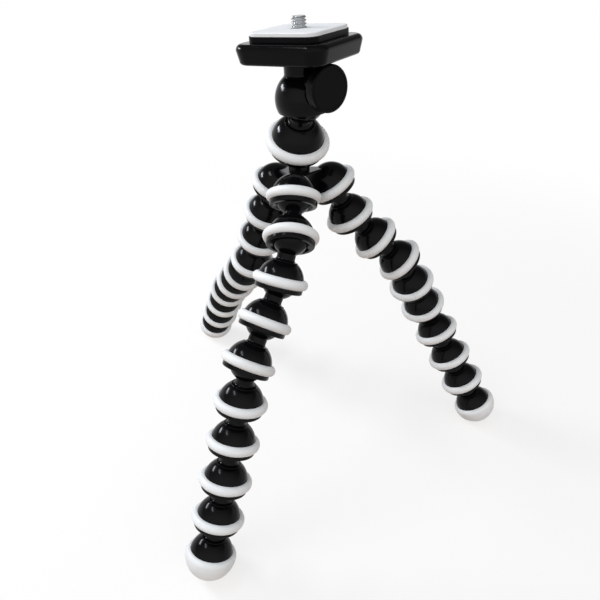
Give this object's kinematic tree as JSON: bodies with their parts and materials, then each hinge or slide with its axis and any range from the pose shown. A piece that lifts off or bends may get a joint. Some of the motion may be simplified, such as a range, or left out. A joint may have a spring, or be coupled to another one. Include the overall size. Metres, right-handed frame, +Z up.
{
  "type": "flexible leg tripod",
  "caption": "Small camera tripod with bendable legs of ball-jointed ringed links on a hub, a lockable ball head and a sliding quick-release plate with a camera screw.",
  "frame": {"origin": "middle of the box round the feet, on the floor the feet stand on", "axes": "+Z up; +X to the right and -Y to the front as pictured"},
  "size_m": [0.2036, 0.2186, 0.2399],
  "materials": {
    "black_plastic": "glossy",
    "knob_plastic": "satin",
    "plate_plastic": "satin",
    "white_rubber": "satin",
    "pad_rubber": "matte",
    "nylon": "matte",
    "steel": "plated"
  },
  "bodies": {
    "hub": {"hub": "black_plastic", "hub_rings": "white_rubber"},
    "front_link_1": {"front_link_1": "black_plastic"},
    "front_link_2": {"front_link_2": "black_plastic"},
    "front_link_3": {"front_link_3": "black_plastic"},
    "front_link_4": {"front_link_4": "black_plastic"},
    "front_link_5": {"front_link_5": "black_plastic"},
    "front_link_6": {"front_link_6": "black_plastic"},
    "front_link_7": {"front_link_7": "black_plastic"},
    "front_link_8": {"front_link_8": "black_plastic"},
    "front_foot": {"front_foot_link": "black_plastic", "front_foot_cap": "white_rubber"},
    "right_link_1": {"right_link_1": "black_plastic"},
    "right_link_2": {"right_link_2": "black_plastic"},
    "right_link_3": {"right_link_3": "black_plastic"},
    "right_link_4": {"right_link_4": "black_plastic"},
    "right_link_5": {"right_link_5": "black_plastic"},
    "right_link_6": {"right_link_6": "black_plastic"},
    "right_link_7": {"right_link_7": "black_plastic"},
    "right_link_8": {"right_link_8": "black_plastic"},
    "right_foot": {"right_foot_link": "black_plastic", "right_foot_cap": "white_rubber"},
    "left_link_1": {"left_link_1": "black_plastic"},
    "left_link_2": {"left_link_2": "black_plastic"},
    "left_link_3": {"left_link_3": "black_plastic"},
    "left_link_4": {"left_link_4": "black_plastic"},
    "left_link_5": {"left_link_5": "black_plastic"},
    "left_link_6": {"left_link_6": "black_plastic"},
    "left_link_7": {"left_link_7": "black_plastic"},
    "left_link_8": {"left_link_8": "black_plastic"},
    "left_foot": {"left_foot_link": "black_plastic", "left_foot_cap": "white_rubber"},
    "neck": {"neck_link": "black_plastic", "neck_ring": "white_rubber"},
    "head": {"head_housing": "black_plastic", "head_tray": "black_plastic", "tray_screws": "steel", "brake_shoe": "nylon"},
    "knob": {"lock_knob": "knob_plastic", "lock_screw": "steel"},
    "plate": {"quick_plate": "plate_plastic", "plate_pad": "pad_rubber"},
    "screw": {"camera_screw": "steel", "screw_clip": "steel"},
    "clamp": {"plate_clamp": "steel"}
  },
  "joints": [
    {"name": "front_bend_1", "type": "hinge", "parent": "hub", "child": "front_link_1", "pos_m": [-0.02541, -0.01462, 0.16542], "axis": [-0.8381, 0.3869, -0.3845], "range_deg": [-43, 25]},
    {"name": "front_bend_2", "type": "hinge", "parent": "front_link_1", "child": "front_link_2", "pos_m": [-0.02672, -0.03019, 0.15262], "axis": [0.3408, 0.7927, -0.5054], "range_deg": [-48, 12]},
    {"name": "front_bend_3", "type": "hinge", "parent": "front_link_2", "child": "front_link_3", "pos_m": [-0.03172, -0.03914, 0.13521], "axis": [0.8989, -0.4149, -0.1407], "range_deg": [-25, 43]},
    {"name": "front_bend_4", "type": "hinge", "parent": "front_link_3", "child": "front_link_4", "pos_m": [-0.03912, -0.04996, 0.11984], "axis": [-0.2404, -0.7356, 0.6333], "range_deg": [-34, 34]},
    {"name": "front_bend_5", "type": "hinge", "parent": "front_link_4", "child": "front_link_5", "pos_m": [-0.04652, -0.06077, 0.10447], "axis": [-0.9044, 0.4175, 0.0878], "range_deg": [-14, 54]},
    {"name": "front_bend_6", "type": "hinge", "parent": "front_link_5", "child": "front_link_6", "pos_m": [-0.0509, -0.06628, 0.08553], "axis": [0.3649, 0.8263, -0.429], "range_deg": [-31, 37]},
    {"name": "front_bend_7", "type": "hinge", "parent": "front_link_6", "child": "front_link_7", "pos_m": [-0.05511, -0.07389, 0.0673], "axis": [0.9074, -0.4189, -0.0349], "range_deg": [-35, 35]},
    {"name": "front_bend_8", "type": "hinge", "parent": "front_link_7", "child": "front_link_8", "pos_m": [-0.05932, -0.0815, 0.04907], "axis": [-0.3649, -0.8263, 0.429], "range_deg": [-35, 35]},
    {"name": "front_bend_9", "type": "hinge", "parent": "front_link_8", "child": "front_foot", "pos_m": [-0.06353, -0.0891, 0.03083], "axis": [-0.9074, 0.4189, 0.0349], "range_deg": [-35, 35]},
    {"name": "right_bend_1", "type": "hinge", "parent": "hub", "child": "right_link_1", "pos_m": [-0.00695, 0.0064, 0.16334], "axis": [0.0487, -0.997, -0.0605], "range_deg": [-31, 38]},
    {"name": "right_bend_2", "type": "hinge", "parent": "right_link_1", "child": "right_link_2", "pos_m": [0.00305, 0.00795, 0.14586], "axis": [-0.7059, -0.0156, -0.7081], "range_deg": [-33, 30]},
    {"name": "right_bend_3", "type": "hinge", "parent": "right_link_2", "child": "right_link_3", "pos_m": [0.01732, 0.00903, 0.13161], "axis": [-0.0488, 0.9985, 0.0267], "range_deg": [-35, 35]},
    {"name": "right_bend_4", "type": "hinge", "parent": "right_link_3", "child": "right_link_4", "pos_m": [0.03159, 0.01011, 0.11736], "axis": [0.8888, -0.0506, 0.4555], "range_deg": [-38, 23]},
    {"name": "right_bend_5", "type": "hinge", "parent": "right_link_4", "child": "right_link_5", "pos_m": [0.0408, 0.01418, 0.09984], "axis": [0.0478, -0.9782, -0.2019], "range_deg": [-35, 35]},
    {"name": "right_bend_6", "type": "hinge", "parent": "right_link_5", "child": "right_link_6", "pos_m": [0.05001, 0.01824, 0.08233], "axis": [-0.8728, -0.1316, -0.4699], "range_deg": [-54, 15]},
    {"name": "right_bend_7", "type": "hinge", "parent": "right_link_6", "child": "right_link_7", "pos_m": [0.05982, 0.01542, 0.0649], "axis": [-0.048, 0.9814, -0.1856], "range_deg": [-35, 35]},
    {"name": "right_bend_8", "type": "hinge", "parent": "right_link_7", "child": "right_link_8", "pos_m": [0.06963, 0.01261, 0.04746], "axis": [0.8728, 0.1316, 0.4699], "range_deg": [-35, 35]},
    {"name": "right_bend_9", "type": "hinge", "parent": "right_link_8", "child": "right_foot", "pos_m": [0.07944, 0.00979, 0.03003], "axis": [0.048, -0.9814, 0.1856], "range_deg": [-35, 35]},
    {"name": "left_bend_1", "type": "hinge", "parent": "hub", "child": "left_link_1", "pos_m": [-0.03444, 0.0116, 0.16118], "axis": [-0.8176, -0.5741, 0.0439], "range_deg": [-32, 35]},
    {"name": "left_bend_2", "type": "hinge", "parent": "left_link_1", "child": "left_link_2", "pos_m": [-0.03987, 0.01793, 0.14279], "axis": [0.5092, -0.7565, -0.4104], "range_deg": [-35, 35]},
    {"name": "left_bend_3", "type": "hinge", "parent": "left_link_2", "child": "left_link_3", "pos_m": [-0.0453, 0.02425, 0.12439], "axis": [0.8176, 0.5741, -0.0439], "range_deg": [-35, 35]},
    {"name": "left_bend_4", "type": "hinge", "parent": "left_link_3", "child": "left_link_4", "pos_m": [-0.05073, 0.03058, 0.10599], "axis": [-0.4598, 0.5542, 0.6939], "range_deg": [-22, 36]},
    {"name": "left_bend_5", "type": "hinge", "parent": "left_link_4", "child": "left_link_5", "pos_m": [-0.05783, 0.04278, 0.09154], "axis": [-0.8156, -0.5727, -0.083], "range_deg": [-35, 35]},
    {"name": "left_bend_6", "type": "hinge", "parent": "left_link_5", "child": "left_link_6", "pos_m": [-0.06493, 0.05498, 0.07709], "axis": [0.4598, -0.5542, -0.6939], "range_deg": [-35, 35]},
    {"name": "left_bend_7", "type": "hinge", "parent": "left_link_6", "child": "left_link_7", "pos_m": [-0.07203, 0.06719, 0.06264], "axis": [0.8171, 0.5737, 0.0572], "range_deg": [-25, 44]},
    {"name": "left_bend_8", "type": "hinge", "parent": "left_link_7", "child": "left_link_8", "pos_m": [-0.07777, 0.07703, 0.04596], "axis": [-0.5016, 0.6584, 0.5611], "range_deg": [-35, 35]},
    {"name": "left_bend_9", "type": "hinge", "parent": "left_link_8", "child": "left_foot", "pos_m": [-0.08351, 0.08687, 0.02928], "axis": [-0.8171, -0.5737, -0.0572], "range_deg": [-35, 35]},
    {"name": "neck_tilt", "type": "hinge", "parent": "hub", "child": "neck", "pos_m": [-0.02342, 0.00437, 0.18586], "axis": [-0.9606, -0.2777, -0.0093], "range_deg": [-1, 68]},
    {"name": "head_pan", "type": "hinge", "parent": "neck", "child": "head", "pos_m": [-0.0208, -0.00543, 0.20731], "axis": [-0.056, 0.0421, 0.9975], "continuous": true},
    {"name": "knob_turn", "type": "hinge", "parent": "head", "child": "knob", "pos_m": [-0.02113, -0.00518, 0.2133], "axis": [0.614, -0.7864, 0.0677], "range_deg": [-180, 180]},
    {"name": "plate_slide", "type": "slide", "parent": "head", "child": "plate", "axis": [0.515, 0.8571, -0.0073], "range_m": [0, 0.034]},
    {"name": "screw_turn", "type": "hinge", "parent": "plate", "child": "screw", "pos_m": [-0.02236, -0.00426, 0.23509], "axis": [-0.056, 0.0421, 0.9975], "continuous": true},
    {"name": "clamp_turn", "type": "hinge", "parent": "head", "child": "clamp", "pos_m": [-0.02197, -0.00454, 0.22826], "axis": [-0.8553, 0.5133, -0.0697], "range_deg": [-180, 180]}
  ]
}
